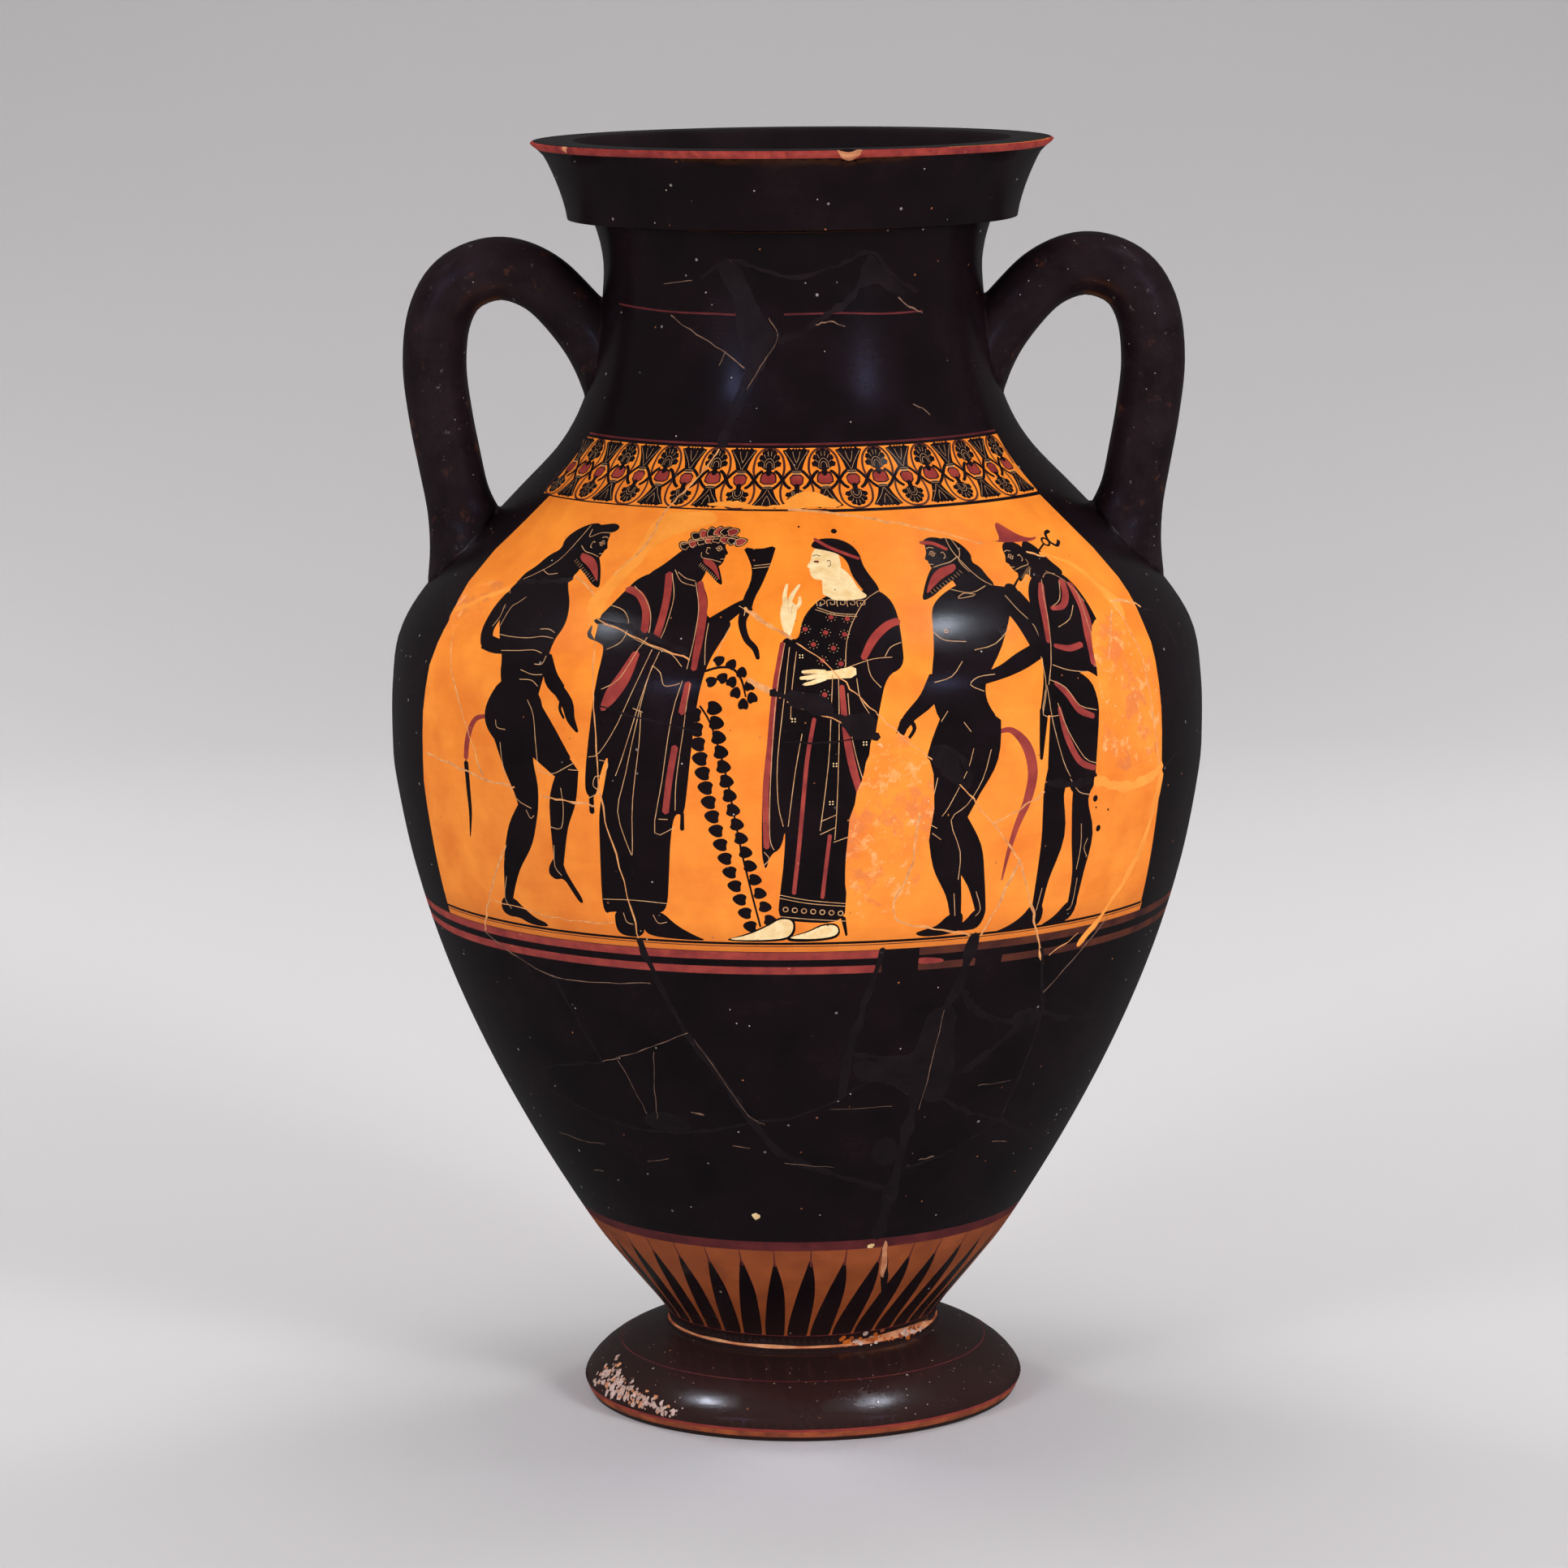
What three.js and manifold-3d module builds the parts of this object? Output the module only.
// A two-handled storage jar of fired clay in the one-piece shape, in millimetres, +Z up.
// The belly runs up into the neck in one curve, under a flaring mouth and over an inverted, rounded foot.
// Two round handles rise from the neck, arch over and come down on the shoulder, left and right of the picture side.
// The jar is hollow and open at the mouth, and the foot is hollow underneath, so it stands on a flat ring.
// The origin is at the centre of that ring, and the picture side faces -Y.
import * as THREE from "three";
import { mergeVertices } from "three/addons/utils/BufferGeometryUtils.js";
import Module from "manifold-3d";

// Driving dimensions
const HEIGHT = 550;
const TURNS = 56; // flats round the wheel-thrown body
const WALL = 6.5; // thickness of the thrown wall
const FOOT_RING_OUTER = 93.6;
const FOOT_RING_INNER = 74;
const FOOT_WIDEST = 96.7;
const FOOT_EDGE_HEIGHT = 6.5; // height of the upright edge of the foot
const JOIN_RADIUS = 57; // where the body meets the foot
const JOIN_HEIGHT = 30.5;
const UNDERSIDE_RADIUS = 30; // flat at the top of the hollow under the foot
const UNDERSIDE_HEIGHT = 22;
const RING_BEVEL = 8; // the standing ring's inner edge slopes up over this width
const RING_BEVEL_RISE = 6;
const FLOOR_HEIGHT = 40; // inside, at the axis
const ABOVE_RIM = 10; // how far the hollow's cutter reaches past the rim
const BELLY_RADIUS = 176;
const BELLY_HEIGHT = 295;
const NECK_RADIUS = 81.4;
const NECK_HEIGHT = 492;
const MOUTH_UNDERSIDE = 516.5;
const MOUTH_LOWER_RADIUS = 96.6;
const RIM_RADIUS = 112.3;
const RIM_EDGE = 1; // height of the thin upright edge of the rim
const RIM_FLAT_INNER = 94;
const RIM_ROUNDING = 2; // height of the rounded inner edge of the rim
const RIM_FLAT_OUTER = 111.4;
const HANDLE_RADIUS = 13.8;
const HANDLE_NECK_RADIUS = 12.4; // a handle is thinner where it leaves the neck
const HANDLE_THIN_SHARE = 0.4; // share of its length over which it thickens
const HANDLE_SIDES = 14;
const HANDLE_STEPS = 28;
const END_CROWDING = 0.4; // rings stand closer together at a handle's two ends
const FILLET = 14; // a handle's root starts to widen at this distance from the wall
const FILLET_SPREAD = 7; // how far it has widened where it meets the wall
const FILLET_SAG = 1.3; // its clay was smoothed downwards, so it widens by less on top

// Outer line of the foot above its edge, falling from the join to the edge: [radius, height]
const FOOT_TOP = [
  [FOOT_WIDEST, FOOT_EDGE_HEIGHT],
  [95.6, 9.5],
  [92.6, 13.6],
  [88.2, 17.8],
  [82, 22],
  [73.5, 26],
  [64.5, 29],
  [JOIN_RADIUS, JOIN_HEIGHT],
];

// Outer line of belly, shoulder and neck: [radius, height]
const BODY_LINE = [
  [JOIN_RADIUS, JOIN_HEIGHT],
  [62.8, 41],
  [78.2, 60],
  [93.3, 80],
  [117.6, 120],
  [138.3, 160],
  [155.1, 200],
  [167.4, 240],
  [174.6, 277],
  [BELLY_RADIUS, BELLY_HEIGHT],
  [175.4, 318],
  [171.8, 340],
  [159.4, 360],
  [139.4, 380],
  [120.0, 400],
  [101.2, 420],
  [90.4, 440],
  [84.4, 464],
  [NECK_RADIUS, NECK_HEIGHT],
  [82.4, 505],
  [85.4, MOUTH_UNDERSIDE - 1],
];

// Outer line of the flaring mouth, from its lower edge to the rim: [radius, height]
const MOUTH_LINE = [
  [MOUTH_LOWER_RADIUS, MOUTH_UNDERSIDE],
  [97.7, 522],
  [100.2, 530],
  [103.8, 538.6],
  [107.2, 544.8],
  [RIM_RADIUS - 0.8, HEIGHT - 1 - RIM_EDGE],
];

// Inner line of mouth and neck, from the rim down: [radius, height]
const THROAT_LINE = [
  [RIM_FLAT_INNER - RIM_ROUNDING, HEIGHT - RIM_ROUNDING],
  [89, 540],
  [84, 525],
  [79.2, 510],
  [NECK_RADIUS - WALL, NECK_HEIGHT],
];

// Middle line of a handle in the plane of the two handles: [distance from the axis, height]
const HANDLE_LINE = [
  [73, 436],
  [82.2, 456],
  [93.8, 474.4],
  [108.2, 489.4],
  [126, 495.6],
  [143.4, 489.6],
  [152.4, 475],
  [154.9, 454],
  [152.6, 432],
  [148.8, 411],
  [145.6, 393],
  [144.6, 376],
  [144.8, 358],
  [145.2, 342],
];

// A chip lost from the front of the rim, and a smaller one to its left: [bearing from the front in degrees, size]
const RIM_CHIPS = [
  [12, 5.5],
  [-62, 3],
];

const wasm = await Module();
wasm.setup();

// Evenly spaced points on a smooth line through [radius, height] pairs.
function smoothLine(pairs, count) {
  const curve = new THREE.SplineCurve(
    pairs.map(([r, z]) => new THREE.Vector2(r, z)),
  );
  return curve.getSpacedPoints(count);
}

// Each point of a line moved by a distance to its inner side, square to the line. Lines here run upwards.
function movedInwards(line, distance) {
  return line.map((p, i) => {
    const before = line[Math.max(0, i - 1)];
    const after = line[Math.min(line.length - 1, i + 1)];
    const along = after.clone().sub(before).normalize();
    return new THREE.Vector2(
      p.x - along.y * distance,
      p.y + along.x * distance,
    );
  });
}

// A closed solid turned from an outline that starts and ends on the axis, with Z as the axis.
function turned(outline) {
  return new THREE.LatheGeometry(outline, TURNS).rotateX(Math.PI / 2);
}

function vessel() {
  const onAxis = (z) => new THREE.Vector2(0, z);
  const point = (r, z) => new THREE.Vector2(r, z);
  return turned([
    onAxis(UNDERSIDE_HEIGHT),
    point(UNDERSIDE_RADIUS, UNDERSIDE_HEIGHT),
    point(FOOT_RING_INNER - RING_BEVEL, RING_BEVEL_RISE),
    point(FOOT_RING_INNER, 0),
    point(FOOT_RING_OUTER, 0),
    point((FOOT_RING_OUTER + FOOT_WIDEST) / 2 + 0.3, FOOT_EDGE_HEIGHT / 2),
    ...smoothLine(FOOT_TOP, 8),
    ...smoothLine(BODY_LINE, 25).slice(1),
    ...smoothLine(MOUTH_LINE, 5),
    point(RIM_RADIUS, HEIGHT - RIM_EDGE),
    point(RIM_FLAT_OUTER, HEIGHT),
    onAxis(HEIGHT),
  ]);
}

// The hollow: the belly's line moved in by the wall, then the throat, carried on above the rim.
function hollow() {
  const belly = BODY_LINE.filter(([, z]) => z > 45 && z < NECK_HEIGHT);
  const inner = movedInwards(smoothLine(belly, 13), WALL);
  const throat = smoothLine([...THROAT_LINE].reverse(), 4);
  return turned([
    new THREE.Vector2(0, FLOOR_HEIGHT),
    new THREE.Vector2(34, FLOOR_HEIGHT + 2),
    new THREE.Vector2(55, FLOOR_HEIGHT + 9),
    ...inner,
    ...throat,
    new THREE.Vector2(RIM_FLAT_INNER, HEIGHT),
    new THREE.Vector2(RIM_FLAT_INNER, HEIGHT + ABOVE_RIM),
    new THREE.Vector2(0, HEIGHT + ABOVE_RIM),
  ]);
}

const wallRadius = (() => {
  const line = smoothLine(BODY_LINE, 200);
  return (z) => {
    const i = line.findIndex((p) => p.y > z);
    if (i < 1) return line[i < 0 ? line.length - 1 : 0].x;
    const share = (z - line[i - 1].y) / (line[i].y - line[i - 1].y);
    return line[i - 1].x + share * (line[i].x - line[i - 1].x);
  };
})();

// How far a point stands off the wall, taken square to a wall that leans about 45 degrees or less.
function standOff(p) {
  const lean = (wallRadius(p.z + 1) - wallRadius(p.z - 1)) / 2;
  return (Math.hypot(p.x, p.y) - wallRadius(p.z)) / Math.hypot(1, lean);
}

// A handle: rings round its middle line, which widen in a curve as they come near the wall.
function handle() {
  const middle = new THREE.CatmullRomCurve3(
    HANDLE_LINE.map(([x, z]) => new THREE.Vector3(x, 0, z)),
    false,
    "centripetal",
  );
  const across = new THREE.Vector3(0, 1, 0);
  const rows = [];
  for (let i = 0; i <= HANDLE_STEPS; i++) {
    const even = i / HANDLE_STEPS;
    const share = even - (END_CROWDING * Math.sin(2 * Math.PI * even)) / (2 * Math.PI);
    const centre = middle.getPointAt(share);
    const out = across.clone().cross(middle.getTangentAt(share));
    const thick = THREE.MathUtils.smoothstep(share, 0, HANDLE_THIN_SHARE);
    const radius = THREE.MathUtils.lerp(HANDLE_NECK_RADIUS, HANDLE_RADIUS, thick);
    const row = [];
    for (let k = 0; k < HANDLE_SIDES; k++) {
      const turn = (2 * Math.PI * k) / HANDLE_SIDES;
      const way = out
        .clone()
        .multiplyScalar(Math.cos(turn))
        .addScaledVector(across, Math.sin(turn));
      const plain = centre.clone().addScaledVector(way, radius);
      const near = 1 - THREE.MathUtils.clamp(standOff(plain) / FILLET, 0, 1);
      const sag = 1 - FILLET_SAG * Math.max(0, way.z);
      row.push(plain.addScaledVector(way, FILLET_SPREAD * sag * near * near));
    }
    rows.push(row);
  }
  const ends = [middle.getPointAt(0), middle.getPointAt(1)];
  const positions = [...rows.flat(), ...ends].flatMap((p) => p.toArray());
  const at = (i, k) => i * HANDLE_SIDES + (k % HANDLE_SIDES);
  const faces = [];
  for (let k = 0; k < HANDLE_SIDES; k++) {
    for (let i = 0; i < HANDLE_STEPS; i++) {
      faces.push(at(i, k), at(i, k + 1), at(i + 1, k));
      faces.push(at(i, k + 1), at(i + 1, k + 1), at(i + 1, k));
    }
    faces.push(rows.length * HANDLE_SIDES, at(0, k + 1), at(0, k));
    faces.push(
      rows.length * HANDLE_SIDES + 1,
      at(HANDLE_STEPS, k),
      at(HANDLE_STEPS, k + 1),
    );
  }
  const geometry = new THREE.BufferGeometry();
  geometry.setAttribute(
    "position",
    new THREE.Float32BufferAttribute(positions, 3),
  );
  geometry.setIndex(faces);
  return geometry;
}

// The lump that a chip takes off the rim.
function chip([bearing, size]) {
  const lump = new THREE.IcosahedronGeometry(size, 0);
  lump.scale(1, 0.55, 0.8);
  lump.translate(0, -RIM_RADIUS, HEIGHT - 2.5);
  return lump.rotateZ(THREE.MathUtils.degToRad(bearing));
}

// A closed mesh as a solid that can be joined and cut.
function solid(geometry) {
  const bare = geometry.index ? geometry.toNonIndexed() : geometry.clone();
  for (const name of ["normal", "uv"]) bare.deleteAttribute(name);
  const merged = mergeVertices(bare, 1e-3);
  const made = new wasm.Manifold(
    new wasm.Mesh({
      numProp: 3,
      vertProperties: new Float32Array(merged.attributes.position.array),
      triVerts: new Uint32Array(merged.index.array),
    }),
  );
  if (made.volume() <= 0) throw new Error("a shape is inside out");
  return made;
}

function meshGeometry(made) {
  const { vertProperties, triVerts } = made.getMesh();
  const geometry = new THREE.BufferGeometry();
  geometry.setAttribute(
    "position",
    new THREE.Float32BufferAttribute(vertProperties, 3),
  );
  geometry.setIndex(new THREE.Uint32BufferAttribute(triVerts, 1));
  geometry.computeVertexNormals();
  return geometry;
}

function amphora() {
  let jar = solid(vessel());
  jar = jar.add(solid(handle()));
  jar = jar.add(solid(handle().rotateZ(Math.PI)));
  jar = jar.subtract(solid(hollow()));
  for (const place of RIM_CHIPS) jar = jar.subtract(solid(chip(place)));
  const blackGloss = new THREE.MeshStandardMaterial({
    color: 0x1b1416,
    roughness: 0.3,
    metalness: 0,
  });
  const mesh = new THREE.Mesh(meshGeometry(jar), blackGloss);
  mesh.name = "amphora";
  return mesh;
}

const object = new THREE.Group();
object.add(amphora());

export default object;
